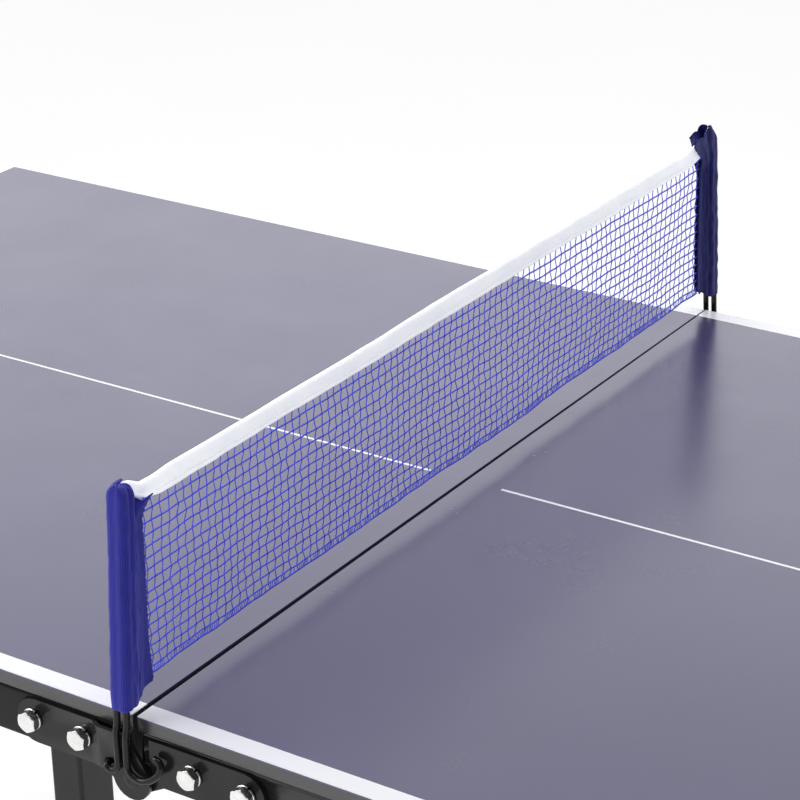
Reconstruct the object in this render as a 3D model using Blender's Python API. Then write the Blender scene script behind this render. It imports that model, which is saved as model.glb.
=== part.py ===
"""A small folding table tennis table with its net set.

Two boards on steel tube frames meet at the net line and hinge on plates at the
near and far edge. The left frame carries a centre leg pair and an end leg pair,
the right frame an end leg pair, and every pair folds up inside its frame. Two
bent wire posts clip onto the left hinge plates, and the net slips over them.

Metres, +Z up. X runs along the table, Y across it, along the net. The origin is
on the floor under the middle of the net.
"""

import math

import bmesh
import bpy
from mathutils import Vector

# Driving dimensions
LENGTH = 1.524
WIDTH = 0.762
HEIGHT = 0.660
HALVES_GAP = 0.003
CLEAR = 0.0003

BOARD_THICK = 0.0105
BOARD_ARRIS = 0.0005
BOARD_CORNER = 0.006

RAIL_WIDE = 0.018
RAIL_TALL = 0.035
RAIL_WALL = 0.0015
RAIL_INSET = 0.0005
RAIL_CORNER = 0.003

PLATE_THICK = 0.003
PLATE_TALL = 0.031
PLATE_CORNER = 0.0145
PLATE_DROP = 0.0013
PLATE_JOGGLE = 0.0042
JOGGLE_START = -0.0325
JOGGLE_END = -0.0250
LEFT_PLATE_END = -0.093
RIGHT_PLATE_END = 0.098
RIGHT_PLATE_START = 0.012
LUG_RADIUS = 0.0141
HINGE_DROP = 0.042
EAR_BOTTOM_DROP = 0.0403

BOLT_RADIUS = 0.004
BOLT_ACROSS = 0.013
BOLT_HEAD = 0.0053
HOLE_RADIUS = 0.0043
WASHER_THICK = 0.002
WASHER_RADIUS = 0.0074
NUT_TALL = 0.0065
LEFT_BOLT_X = -0.0403
PIVOT_BOLT_X = -0.0800
RIGHT_BOLTS = (("inner", 0.0448), ("outer", 0.0846))
BOLT_DROP = 0.026

LEG_WIDE = 0.025
LEG_DEEP = 0.032
END_LEG = 0.025
LEG_WALL = 0.0015
CENTRE_LEG_X = PIVOT_BOLT_X
CENTRE_LEG_OUT = 0.3584
END_LEG_X = 0.672
END_LEG_OUT = 0.315
CAP_WALL = 0.001
CAP_TALL = 0.024
CAP_FLOOR = 0.004
CAP_CHAMFER = 0.001
CAP_CORNER = 0.0016
CAP_BORE_CORNER = 0.0006
SPACER_RADIUS = 0.008

CENTRE_BAR_TALL = 0.030
CENTRE_BAR_THICK = 0.003
CENTRE_BAR_Z = 0.250
CENTRE_SCREW_HEAD = 0.002
END_BAR = 0.020
END_BAR_Z = 0.300

BRACKET_THICK = 0.003
BRACKET_TALL = 0.030
BRACKET_PLAY = 0.0005

DRILL_START = 0.010
DRILL_PAST = 0.001
PIN_PAST = 0.00015
SHORT_SHANK = 0.007
SHANK_PROUD = 0.002
RIVET_RADIUS = 0.0056
RIVET_CROWN = 0.0046
RIVET_DIMPLE = 0.0020
RIVET_HEAD = 0.0006
RIVET_DISH = 0.0004
RIVET_SHORT = 0.0001
SHOULDER_RADIUS = 0.0070

WIRE_RADIUS = 0.0023
WIRE_HALF_SPAN = 0.0037
WIRE_FOOT_SPAN = 0.0034
# Each post's distance outside the board's edge at the surface, and its inward lean
WIRE_OUT = {"near": 0.0083, "far": 0.0088}
WIRE_LEAN = {"near": 0.064, "far": 0.088}
WIRE_TOP = {"near": 0.1435, "far": 0.1467}
# The net line is turned a little, so that each post has its own place along the table
POST_X = {"near": -0.0033, "far": 0.0}
FOOT_OUT = 0.0099
FOOT_TOP = -0.0110
HOOK_HOLE = (-0.0125, -0.0352)
HOOK_HOLE_RADIUS = 0.0044

# Each sleeve's lower and upper end over the surface, and where its flap ends across the table
SLEEVE_BOTTOM = {"near": 0.0083, "far": 0.013}
SLEEVE_TOP = {"near": 0.1528, "far": 0.160}
SLEEVE_FLAP_END = {"near": 0.3603, "far": 0.3585}
SLEEVE_POCKET_TOP = {"near": 0.1498, "far": 0.153}
SLEEVE_WRAP = {"near": 0.0123, "far": 0.0155}
POCKET_CUT = 0.002
NET_BOTTOM = {"near": 0.0148, "far": 0.018}
NET_TOP = {"near": 0.1338, "far": 0.137}
NET_THICK = 0.0014
TAPE_RISE = 0.014
TAPE_THICK = 0.004
TAPE_CORNER = 0.0012

UNDER_BOARD = HEIGHT - BOARD_THICK
RAIL_TOP = UNDER_BOARD - CLEAR
RAIL_BOTTOM = RAIL_TOP - RAIL_TALL
RAIL_OUT = WIDTH / 2 - RAIL_INSET
RAIL_IN = RAIL_OUT - RAIL_WIDE
PLATE_IN = RAIL_OUT + CLEAR
PLATE_OUT = PLATE_IN + PLATE_THICK
PLATE_TOP = RAIL_TOP - PLATE_DROP
PLATE_BOTTOM = PLATE_TOP - PLATE_TALL
EAR_IN = PLATE_IN + PLATE_JOGGLE
EAR_OUT = PLATE_OUT + PLATE_JOGGLE
HINGE_Z = HEIGHT - HINGE_DROP
BOLT_Z = HEIGHT - BOLT_DROP
CENTRE_LEG_IN = CENTRE_LEG_OUT - LEG_DEEP
END_LEG_IN = END_LEG_OUT - END_LEG
RAIL_NEAR_END = HALVES_GAP / 2 + 0.0035
RAIL_FAR_END = LENGTH / 2 - RAIL_INSET
NEAR = -1
FAR = 1
LEFT = -1
RIGHT = 1
SIDES = (("near", NEAR), ("far", FAR))
HALVES = (("left", LEFT), ("right", RIGHT))

LOOKS = {
    "board": ((0.105, 0.100, 0.145), 0.35, 0.0),
    "black_steel": ((0.012, 0.012, 0.013), 0.22, 0.0),
    "zinc": ((0.80, 0.80, 0.78), 0.25, 1.0),
    "black_plastic": ((0.02, 0.02, 0.02), 0.5, 0.0),
    "blue_fabric": ((0.03, 0.03, 0.45), 0.8, 0.0),
    "blue_cord": ((0.05, 0.08, 0.75), 0.6, 0.0),
    "white_tape": ((0.85, 0.86, 0.9), 0.7, 0.0),
}


def clear_scene():
    for item in list(bpy.data.objects):
        bpy.data.objects.remove(item, do_unlink=True)


def pivot(name, x, z):
    """An empty at a joint: on a hinge's axis along Y, or at the net's slide."""
    empty = bpy.data.objects.new(name, None)
    empty.location = (x, 0.0, z)
    bpy.context.scene.collection.objects.link(empty)
    return empty


def arc(centre, radius, start_deg, end_deg, steps):
    """Points along an arc, both ends included."""
    turns = [math.radians(start_deg + (end_deg - start_deg) * i / steps) for i in range(steps + 1)]
    return [(centre[0] + radius * math.cos(a), centre[1] + radius * math.sin(a)) for a in turns]


def rounded_rectangle(low, high, radius, steps=3):
    """The outline of a rectangle with round corners, from its low and high corner."""
    corners = (
        ((high[0] - radius, high[1] - radius), 0),
        ((low[0] + radius, high[1] - radius), 90),
        ((low[0] + radius, low[1] + radius), 180),
        ((high[0] - radius, low[1] + radius), 270),
    )
    outline = []
    for centre, start in corners:
        outline += arc(centre, radius, start, start + 90, steps)
    return outline


def ring(outline, along, axis):
    """An outline as 3-D points at one place along an axis."""
    if axis == "X":
        return [(along, u, v) for u, v in outline]
    if axis == "Y":
        return [(u, along, v) for u, v in outline]
    return [(u, v, along) for u, v in outline]


def prism(outline, low, high, axis):
    return [ring(outline, low, axis), ring(outline, high, axis)], False


def tube(outer, inner, low, high, axis):
    """A hollow prism that is open at both ends."""
    rings = [
        ring(outer, low, axis),
        ring(outer, high, axis),
        ring(inner, high, axis),
        ring(inner, low, axis),
    ]
    return rings, True


def square_tube(low, high, start, end, axis, wall, radius):
    """A rectangular tube between two corners of its section."""
    outer = rounded_rectangle(low, high, radius, 2)
    inner = rounded_rectangle(
        (low[0] + wall, low[1] + wall), (high[0] - wall, high[1] - wall), radius - wall / 2, 2
    )
    return tube(outer, inner, start, end, axis)


def add_shell(mesh, shell):
    """Joins neighbouring rings with faces, and closes both ends unless the rings go round."""
    rings, goes_round = shell
    rows = [[mesh.verts.new(point) for point in points] for points in rings]
    pairs = list(zip(rows, rows[1:]))
    if goes_round:
        pairs.append((rows[-1], rows[0]))
    else:
        mesh.faces.new(rows[0])
        mesh.faces.new(rows[-1])
    for here, there in pairs:
        for i in range(len(here)):
            j = (i + 1) % len(here)
            mesh.faces.new((here[i], here[j], there[j], there[i]))


def painted(name, look):
    colour, roughness, metallic = LOOKS[look]
    material = bpy.data.materials.new(name + "_material")
    material.use_nodes = True
    shader = material.node_tree.nodes["Principled BSDF"]
    shader.inputs["Base Color"].default_value = (*colour, 1.0)
    shader.inputs["Roughness"].default_value = roughness
    shader.inputs["Metallic"].default_value = metallic
    return material


def hang(item, parent):
    """Gives an object a parent and leaves it where it is."""
    if parent is not None:
        item.parent = parent
        item.matrix_parent_inverse = parent.matrix_basis.inverted()


def solid(name, look, shell, parent=None, reshape=None):
    """One object from one closed shell."""
    mesh = bmesh.new()
    add_shell(mesh, shell)
    if reshape is not None:
        reshape(mesh)
    bmesh.ops.recalc_face_normals(mesh, faces=mesh.faces)
    data = bpy.data.meshes.new(name)
    mesh.to_mesh(data)
    mesh.free()
    data.shade_smooth()
    data.set_sharp_from_angle(angle=math.radians(35))
    data.materials.append(painted(name, look))
    item = bpy.data.objects.new(name, data)
    bpy.context.scene.collection.objects.link(item)
    hang(item, parent)
    return item


def cut(items, name, shell, parent=None):
    """Cuts the same shell out of several objects."""
    cutter = solid(name, "zinc", shell, parent)
    cutter.hide_render = True
    cutter.display_type = "WIRE"
    for item in items:
        modifier = item.modifiers.new("holes", "BOOLEAN")
        modifier.operation = "DIFFERENCE"
        modifier.solver = "EXACT"
        modifier.object = cutter


def rod(x, z, radius, start, end, steps=16):
    """A round bar along Y."""
    return prism(arc((x, z), radius, 0, 360 * (steps - 1) / steps, steps - 1), start, end, "Y")


def hexagon(x, z, across):
    """Twelve points on a hexagon, so that it joins a circle of twelve points."""
    points = []
    for i in range(12):
        radius = across / 2 if i % 2 else across / 2 / math.cos(math.radians(30))
        angle = math.radians(30 * i)
        points.append((x + radius * math.cos(angle), z + radius * math.sin(angle)))
    return points


def circle(x, z, radius):
    return arc((x, z), radius, 0, 330, 11)


def bolt(x, z, side, end):
    """A hexagon bolt and its spring washer on a hinge plate, with the shank's end at a place."""
    seat = PLATE_OUT + CLEAR
    head = seat + WASHER_THICK
    steps = (
        (hexagon(x, z, BOLT_ACROSS * 0.86), head + BOLT_HEAD),
        (hexagon(x, z, BOLT_ACROSS), head + BOLT_HEAD - 0.0009),
        (hexagon(x, z, BOLT_ACROSS), head),
        (circle(x, z, WASHER_RADIUS), head),
        (circle(x, z, WASHER_RADIUS), seat),
        (circle(x, z, BOLT_RADIUS), seat),
        (circle(x, z, BOLT_RADIUS), end),
    )
    return [ring(outline, side * y, "Y") for outline, y in steps], False


def nut(x, z, seat, side):
    """A hexagon nut on the inner side of the place seat, with its thread's hole."""
    outer = hexagon(x, z, BOLT_ACROSS)
    inner = circle(x, z, HOLE_RADIUS)
    return tube(outer, inner, side * seat, side * (seat - NUT_TALL), "Y")


def make_board(name, half, parent):
    """A board with its arrises broken, from the net line to the table's end."""
    ends = sorted((half * HALVES_GAP / 2, half * LENGTH / 2))
    rings = []
    for z, inset in (
        (UNDER_BOARD, BOARD_ARRIS),
        (UNDER_BOARD + BOARD_ARRIS, 0.0),
        (HEIGHT - BOARD_ARRIS, 0.0),
        (HEIGHT, BOARD_ARRIS),
    ):
        low = (ends[0] + inset, -WIDTH / 2 + inset)
        high = (ends[1] - inset, WIDTH / 2 - inset)
        rings.append(ring(rounded_rectangle(low, high, BOARD_CORNER - inset, 4), z, "Z"))
    return solid(name + "_board", "board", (rings, False), parent)


def make_rails(name, half, parent):
    """The four tubes of one frame; returns the side tubes, which are drilled later."""
    side_rails = {}
    ends = sorted((half * RAIL_NEAR_END, half * RAIL_FAR_END))
    for side_name, side in SIDES:
        y = sorted((side * RAIL_IN, side * RAIL_OUT))
        shell = square_tube(
            (y[0], RAIL_BOTTOM), (y[1], RAIL_TOP), *ends, "X", RAIL_WALL, RAIL_CORNER
        )
        rail_name = f"{name}_{side_name}_rail"
        side_rails[side_name] = solid(rail_name, "black_steel", shell, parent)
    places = (
        ("inner", sorted((half * RAIL_NEAR_END, half * (RAIL_NEAR_END + RAIL_WIDE)))),
        ("end", sorted((half * (RAIL_FAR_END - RAIL_WIDE), half * RAIL_FAR_END))),
    )
    reach = RAIL_IN - CLEAR
    for place, x in places:
        shell = square_tube(
            (x[0], RAIL_BOTTOM), (x[1], RAIL_TOP), -reach, reach, "Y", RAIL_WALL, RAIL_CORNER
        )
        solid(f"{name}_{place}_rail", "black_steel", shell, parent)
    return side_rails


def left_plate_outline():
    """The left hinge plate, whose ear reaches past the net line and down to the pivot."""
    out = LEFT_PLATE_END + PLATE_CORNER
    top = PLATE_TOP - PLATE_CORNER
    bottom = PLATE_BOTTOM + PLATE_CORNER
    outline = arc((out, top), PLATE_CORNER, 90, 180, 5)
    outline += arc((out, bottom), PLATE_CORNER, 180, 270, 5)
    ear_bottom = HEIGHT - EAR_BOTTOM_DROP
    outline += [(JOGGLE_START, PLATE_BOTTOM), (JOGGLE_END, ear_bottom), (-0.0175, ear_bottom - 0.001)]
    outline += arc((0.0, HINGE_Z), LUG_RADIUS, 192, 360, 10)
    outline += [(0.0130, HEIGHT - 0.0345), (0.0036, HEIGHT - 0.0205)]
    outline += arc((-0.0050, PLATE_TOP - 0.006), 0.006, 30, 90, 3)
    return outline


def right_plate_outline():
    """The right hinge plate, with the lug that turns on the pivot behind the left one's ear."""
    out = RIGHT_PLATE_END - PLATE_CORNER
    top = PLATE_TOP - PLATE_CORNER
    bottom = PLATE_BOTTOM + PLATE_CORNER
    outline = arc((out, bottom), PLATE_CORNER, 270, 360, 5)
    outline += arc((out, top), PLATE_CORNER, 0, 90, 5)
    outline += [(RIGHT_PLATE_START, PLATE_TOP), (RIGHT_PLATE_START, HEIGHT - 0.030)]
    outline += arc((0.0, HINGE_Z), LUG_RADIUS - 0.001, 75, 325, 12)
    outline += [(0.022, PLATE_BOTTOM)]
    return outline


def joggle(side):
    """Steps the ear outward across a short slanted stretch."""

    def reshape(mesh):
        for x in (JOGGLE_START, JOGGLE_END):
            parts = mesh.verts[:] + mesh.edges[:] + mesh.faces[:]
            bmesh.ops.bisect_plane(mesh, geom=parts, plane_co=(x, 0, 0), plane_no=(1, 0, 0))
        for vert in mesh.verts:
            share = (vert.co.x - JOGGLE_START) / (JOGGLE_END - JOGGLE_START)
            vert.co.y += side * PLATE_JOGGLE * min(max(share, 0.0), 1.0)

    return reshape


def make_hinges(rails, left, right):
    """The hinge plates with their bolts and pivot rivets."""
    outside = EAR_OUT + DRILL_START
    short_end = RAIL_OUT - SHORT_SHANK
    long_end = CENTRE_LEG_IN - NUT_TALL - SHANK_PROUD
    for side_name, side in SIDES:
        left_shell = prism(left_plate_outline(), side * PLATE_IN, side * PLATE_OUT, "Y")
        right_shell = prism(right_plate_outline(), side * PLATE_IN, side * PLATE_OUT, "Y")
        left_name = f"left_{side_name}_hinge_plate"
        right_name = f"right_{side_name}_hinge_plate"
        left_plate = solid(left_name, "black_steel", left_shell, left, joggle(side))
        right_plate = solid(right_name, "black_steel", right_shell, right)
        left_rail = rails["left"][side_name]
        right_rail = rails["right"][side_name]
        pin = (0.0, HINGE_Z, HOLE_RADIUS, PLATE_IN - PIN_PAST)
        hook_x = POST_X[side_name] + HOOK_HOLE[0]
        hook = (hook_x, HEIGHT + HOOK_HOLE[1], HOOK_HOLE_RADIUS, PLATE_IN)
        blind = short_end - DRILL_PAST
        frame = (LEFT_BOLT_X, BOLT_Z, HOLE_RADIUS, blind)
        leg_pivot = (CENTRE_LEG_X, BOLT_Z, HOLE_RADIUS, RAIL_IN - DRILL_PAST)
        right_holes = [(x, BOLT_Z, HOLE_RADIUS, blind) for _, x in RIGHT_BOLTS]
        drilled = (
            ("left", left, [left_plate], (pin, hook)),
            ("left_bolt", left, [left_plate, left_rail], (frame, leg_pivot)),
            ("right", right, [right_plate], (pin,)),
            ("right_bolt", right, [right_plate, right_rail], right_holes),
        )
        for name, frame_empty, items, holes in drilled:
            for x, z, radius, end in holes:
                shell = rod(x, z, radius, side * outside, side * end)
                cut(items, f"{name}_{side_name}_hole_cutter", shell, frame_empty)
        rivet_name = f"{side_name}_hinge_rivet"
        solid(rivet_name, "black_steel", hinge_rivet(side), left)
        shell = bolt(LEFT_BOLT_X, BOLT_Z, side, short_end)
        solid(f"left_{side_name}_frame_bolt", "zinc", shell, left)
        shell = bolt(CENTRE_LEG_X, BOLT_Z, side, long_end)
        solid(f"centre_{side_name}_leg_bolt", "zinc", shell, left)
        for place, x in RIGHT_BOLTS:
            shell = bolt(x, BOLT_Z, side, short_end)
            solid(f"right_{side_name}_{place}_bolt", "zinc", shell, right)


def hinge_rivet(side):
    """A headed pivot with a shoulder that keeps the ear and the right lug apart."""
    places = (
        (RIVET_DIMPLE, EAR_OUT + RIVET_HEAD - RIVET_DISH),
        (RIVET_CROWN, EAR_OUT + RIVET_HEAD),
        (RIVET_RADIUS, EAR_OUT + CLEAR),
        (BOLT_RADIUS, EAR_OUT + CLEAR),
        (BOLT_RADIUS, EAR_IN - CLEAR),
        (SHOULDER_RADIUS, EAR_IN - CLEAR),
        (SHOULDER_RADIUS, PLATE_OUT + CLEAR),
        (BOLT_RADIUS, PLATE_OUT + CLEAR),
        (BOLT_RADIUS, PLATE_IN + RIVET_SHORT),
    )
    rings = [ring(circle(0.0, HINGE_Z, radius), side * y, "Y") for radius, y in places]
    return rings, False


def leg_shell(x, side, out, wide, deep):
    """A leg tube with a round top about its pivot, and its hollow, which is open below."""
    half = wide / 2
    wall = LEG_WALL
    below = -CAP_FLOOR
    bottom = CAP_FLOOR + CLEAR
    outline = [(x + half, bottom)] + arc((x, BOLT_Z), half, 0, 180, 10) + [(x - half, bottom)]
    hollow = [(x + half - wall, below)]
    hollow += arc((x, BOLT_Z), half - wall, 0, 180, 10) + [(x - half + wall, below)]
    y_in = out - deep
    outer = prism(outline, side * y_in, side * out, "Y")
    inner = prism(hollow, side * (y_in + wall), side * (out - wall), "Y")
    return outer, inner


def foot_cap(x, side, out, wide, deep):
    """A cup that the leg's end stands in."""
    y = side * (out - deep / 2)

    def outline(grow, corner):
        u = wide / 2 + grow
        v = deep / 2 + grow
        return rounded_rectangle((x - u, y - v), (x + u, y + v), corner, 2)

    inner = outline(CLEAR, CAP_BORE_CORNER)
    outer = outline(CLEAR + CAP_WALL, CAP_CORNER)
    sole = outline(CLEAR + CAP_WALL - CAP_CHAMFER, CAP_CORNER)
    places = (
        (sole, 0.0),
        (outer, CAP_CHAMFER),
        (outer, CAP_TALL),
        (inner, CAP_TALL),
        (inner, CAP_FLOOR),
    )
    return [ring(outline, z, "Z") for outline, z in places], False


def make_legs(name, x, out, wide, deep, parent):
    """A pair of legs with their foot caps."""
    for side_name, side in SIDES:
        outer, inner = leg_shell(x, side, out, wide, deep)
        leg = solid(f"{name}_{side_name}_leg", "black_steel", outer, parent)
        cut([leg], f"{name}_{side_name}_leg_hollow_cutter", inner, parent)
        start = side * (out + DRILL_START)
        hole = rod(x, BOLT_Z, HOLE_RADIUS, start, side * (out - deep - DRILL_START))
        cut([leg], f"{name}_{side_name}_leg_hole_cutter", hole, parent)
        cap = foot_cap(x, side, out, wide, deep)
        solid(f"{name}_{side_name}_foot_cap", "black_plastic", cap, parent)


def make_centre_legs(left, parent):
    """The pair beside the hinge, on the bolts through the left hinge plates."""
    make_legs("centre", CENTRE_LEG_X, CENTRE_LEG_OUT, LEG_WIDE, LEG_DEEP, parent)
    for side_name, side in SIDES:
        outer = circle(CENTRE_LEG_X, BOLT_Z, SPACER_RADIUS)
        inner = circle(CENTRE_LEG_X, BOLT_Z, HOLE_RADIUS)
        low = side * (CENTRE_LEG_OUT + CLEAR)
        high = side * (RAIL_IN - CLEAR)
        spacer = tube(outer, inner, low, high, "Y")
        solid(f"centre_{side_name}_leg_spacer", "black_plastic", spacer, left)
        shell = nut(CENTRE_LEG_X, BOLT_Z, CENTRE_LEG_IN - CLEAR, side)
        solid(f"centre_{side_name}_leg_nut", "zinc", shell, left)
    face = CENTRE_LEG_X + LEG_WIDE / 2 + CLEAR
    low = (face, CENTRE_BAR_Z)
    high = (face + CENTRE_BAR_THICK, CENTRE_BAR_Z + CENTRE_BAR_TALL)
    outline = rounded_rectangle(low, high, 0.0008, 2)
    bar = prism(outline, -CENTRE_LEG_OUT, CENTRE_LEG_OUT, "Y")
    solid("centre_cross_bar", "black_steel", bar, parent)
    seat = face + CENTRE_BAR_THICK + CLEAR
    for side_name, side in SIDES:
        y = side * (CENTRE_LEG_OUT - LEG_DEEP / 2)
        z = CENTRE_BAR_Z + CENTRE_BAR_TALL / 2
        places = ((0.0050, seat), (0.0050, seat + 0.001), (0.0032, seat + CENTRE_SCREW_HEAD))
        head = [ring(circle(y, z, radius), x, "X") for radius, x in places], False
        solid(f"centre_{side_name}_bar_screw", "zinc", head, parent)


def make_end_legs(name, half, frame, parent):
    """A pair of end legs, their square cross bar, and the forked brackets they turn in."""
    x = half * END_LEG_X
    make_legs(f"{name}_end", x, END_LEG_OUT, END_LEG, END_LEG, parent)
    low = (x - END_BAR / 2, END_BAR_Z)
    high = (x + END_BAR / 2, END_BAR_Z + END_BAR)
    reach = END_LEG_IN - CLEAR
    bar = square_tube(low, high, -reach, reach, "Y", LEG_WALL, 0.002)
    solid(f"{name}_end_cross_bar", "black_steel", bar, parent)
    web = RAIL_FAR_END - RAIL_WIDE - CLEAR
    mouth = END_LEG_X - END_LEG / 2
    outer_ear = END_LEG_OUT + BRACKET_PLAY
    inner_ear = END_LEG_IN - BRACKET_PLAY
    bottom = BOLT_Z - BRACKET_TALL / 2
    for side_name, side in SIDES:
        fork = (
            (mouth, outer_ear + BRACKET_THICK),
            (web, outer_ear + BRACKET_THICK),
            (web, inner_ear - BRACKET_THICK),
            (mouth, inner_ear - BRACKET_THICK),
            (mouth, inner_ear),
            (web - BRACKET_THICK, inner_ear),
            (web - BRACKET_THICK, outer_ear),
            (mouth, outer_ear),
        )
        outline = [(half * u, side * v) for u, v in fork]
        shell = prism(outline, bottom, bottom + BRACKET_TALL, "Z")
        bracket = solid(f"{name}_{side_name}_end_bracket", "black_steel", shell, frame)
        far_out = side * (outer_ear + DRILL_START)
        far_in = side * (inner_ear - DRILL_START)
        pin_hole = rod(x, BOLT_Z, HOLE_RADIUS, far_out, far_in)
        cut([bracket], f"{name}_{side_name}_end_pin_hole_cutter", pin_hole, frame)
        pin = end_pin(x, side, outer_ear, inner_ear)
        solid(f"{name}_{side_name}_end_leg_pin", "zinc", pin, frame)


def end_pin(x, side, outer_ear, inner_ear):
    """A rivet through a bracket and its leg, with a flat head at each end."""
    low = inner_ear - BRACKET_THICK - CLEAR
    high = outer_ear + BRACKET_THICK + CLEAR
    places = (
        (0.0060, low - 0.002),
        (0.0070, low - 0.001),
        (0.0070, low),
        (BOLT_RADIUS, low),
        (BOLT_RADIUS, high),
        (0.0070, high),
        (0.0070, high + 0.001),
        (0.0060, high + 0.002),
    )
    return [ring(circle(x, BOLT_Z, radius), side * y, "Y") for radius, y in places], False


def smooth_path(points, step):
    """Points spaced along a curve that passes through the given ones."""
    given = [Vector(point) for point in points]
    given = [2 * given[0] - given[1]] + given + [2 * given[-1] - given[-2]]
    path = [given[1]]
    for i in range(1, len(given) - 2):
        before, start, end, after = given[i - 1 : i + 3]
        count = max(1, round((end - start).length / step))
        for k in range(1, count + 1):
            t = k / count
            turn = (end - before) / 2 * (t**3 - 2 * t**2 + t) + (after - start) / 2 * (t**3 - t**2)
            path.append(start * (2 * t**3 - 3 * t**2 + 1) + end * (3 * t**2 - 2 * t**3) + turn)
    return path


def wire_centre(side_name, height):
    """How far outside the board's edge a post's wires stand at a height over the surface."""
    return WIRE_OUT[side_name] - WIRE_LEAN[side_name] * height


def post_path(side_name, side):
    """The wire's centreline: hooked foot, up, over, down, and the looped foot."""
    hook_x = HOOK_HOLE[0] - 0.0008
    hook_z = HOOK_HOLE[1] + 0.0006
    foot = (
        (hook_x, 0.0045, hook_z),
        (hook_x, 0.0080, hook_z),
        (hook_x + 0.0006, 0.0103, hook_z - 0.0008),
        (-0.0112, 0.0106, -0.0362),
        (-0.0080, 0.0104, -0.0368),
        (-0.0050, 0.0101, -0.0348),
        (-0.0037, 0.0100, -0.0310),
        (-WIRE_FOOT_SPAN, 0.0099, -0.0250),
        (-WIRE_HALF_SPAN, FOOT_OUT, FOOT_TOP),
    )
    loop = (
        (WIRE_HALF_SPAN, FOOT_OUT, FOOT_TOP),
        (WIRE_FOOT_SPAN, 0.0099, -0.0240),
        (0.0038, 0.0102, -0.0305),
        (0.0058, 0.0105, -0.0345),
        (0.0092, 0.0106, -0.0366),
        (0.0130, 0.0106, -0.0374),
        (0.0175, 0.0104, -0.0366),
        (0.0228, 0.0096, -0.0336),
        (0.0268, 0.0085, -0.0292),
        (0.0278, 0.0076, -0.0250),
        (0.0258, 0.0068, -0.0222),
        (0.0222, 0.0062, -0.0215),
    )
    peak = WIRE_TOP[side_name]
    heights = (0.0, 0.015, 0.05, 0.10, 0.137)
    rise = [(-WIRE_HALF_SPAN, wire_centre(side_name, z), z) for z in heights]
    top = arc((0.0, peak), WIRE_HALF_SPAN, 180, 0, 8)
    over = [(x, wire_centre(side_name, z), z) for x, z in top]
    fall = [(WIRE_HALF_SPAN, wire_centre(side_name, z), z) for z in reversed(heights)]
    points = list(foot) + rise + over + fall + list(loop)
    middle = POST_X[side_name]
    edge = WIDTH / 2
    route = [(middle + x, side * (edge + out), HEIGHT + z) for x, out, z in points]
    return smooth_path(route, 0.0022)


def thinned(path, angle_deg):
    """A path without the points where it hardly turns."""
    kept = [path[0]]
    for here, after in zip(path[1:], path[2:]):
        straight = (here - kept[-1]).angle(after - here)
        if straight > math.radians(angle_deg):
            kept.append(here)
    return kept + [path[-1]]


def make_post(side_name, side, parent):
    """A net post of bent wire."""
    name = f"{side_name}_net_post"
    data = bpy.data.curves.new(name, "CURVE")
    data.dimensions = "3D"
    data.bevel_depth = WIRE_RADIUS
    data.bevel_resolution = 2
    data.use_fill_caps = True
    path = thinned(post_path(side_name, side), 2)
    spline = data.splines.new("POLY")
    spline.points.add(len(path) - 1)
    for point, place in zip(spline.points, path):
        point.co = (*place, 1.0)
    data.materials.append(painted(name, "black_steel"))
    item = bpy.data.objects.new(name, data)
    bpy.context.scene.collection.objects.link(item)
    hang(item, parent)


def sleeve_outline(side_name, side, height, pocket):
    """A sleeve's outline at a height over the surface, or its pocket's around both wires."""
    centre = WIDTH / 2 + wire_centre(side_name, height)
    wrap = SLEEVE_WRAP[side_name]
    if pocket:
        half = ((0.0050, -0.0027), (0.0063, -0.0018), (0.0063, wrap - 0.0004))
    else:
        end = centre - SLEEVE_FLAP_END[side_name]
        taper = end - wrap
        half = ((0.0048, -0.0036), (0.0068, -0.0022), (0.0069, wrap))
        half += ((0.0045, wrap + 0.4 * taper), (0.0013, wrap + 0.75 * taper))
        half += ((0.0013, end),)
    middle = POST_X[side_name]
    right = [(middle + x, side * (centre - inward)) for x, inward in half]
    left = [(middle - x, side * (centre - inward)) for x, inward in reversed(half)]
    return right + left


def make_net(parent):
    """The net's mesh, its top tape and the sleeve at each end."""
    for side_name, side in SIDES:
        heights = (SLEEVE_BOTTOM[side_name], SLEEVE_TOP[side_name])
        outlines = [sleeve_outline(side_name, side, z, False) for z in heights]
        rings = [ring(outline, HEIGHT + z, "Z") for outline, z in zip(outlines, heights)]
        sleeve = solid(f"{side_name}_net_sleeve", "blue_fabric", (rings, False), parent)
        heights = (SLEEVE_BOTTOM[side_name] - POCKET_CUT, SLEEVE_POCKET_TOP[side_name])
        outlines = [sleeve_outline(side_name, side, z, True) for z in heights]
        rings = [ring(outline, HEIGHT + z, "Z") for outline, z in zip(outlines, heights)]
        cut([sleeve], f"{side_name}_sleeve_pocket_cutter", (rings, False), parent)
    half = NET_THICK / 2
    panel = []
    band = []
    for side_name, side in SIDES:
        middle = POST_X[side_name]
        end = side * (SLEEVE_FLAP_END[side_name] - CLEAR)
        bottom = HEIGHT + NET_BOTTOM[side_name]
        top = HEIGHT + NET_TOP[side_name]
        left = middle - half
        right = middle + half
        panel.append(ring([(left, bottom), (right, bottom), (right, top), (left, top)], end, "Y"))
        low = (middle - TAPE_THICK / 2, top + CLEAR)
        high = (middle + TAPE_THICK / 2, top + TAPE_RISE)
        band.append(ring(rounded_rectangle(low, high, TAPE_CORNER, 2), end, "Y"))
    solid("net_mesh", "blue_cord", (panel, False), parent)
    solid("net_tape", "white_tape", (band, False), parent)


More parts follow.
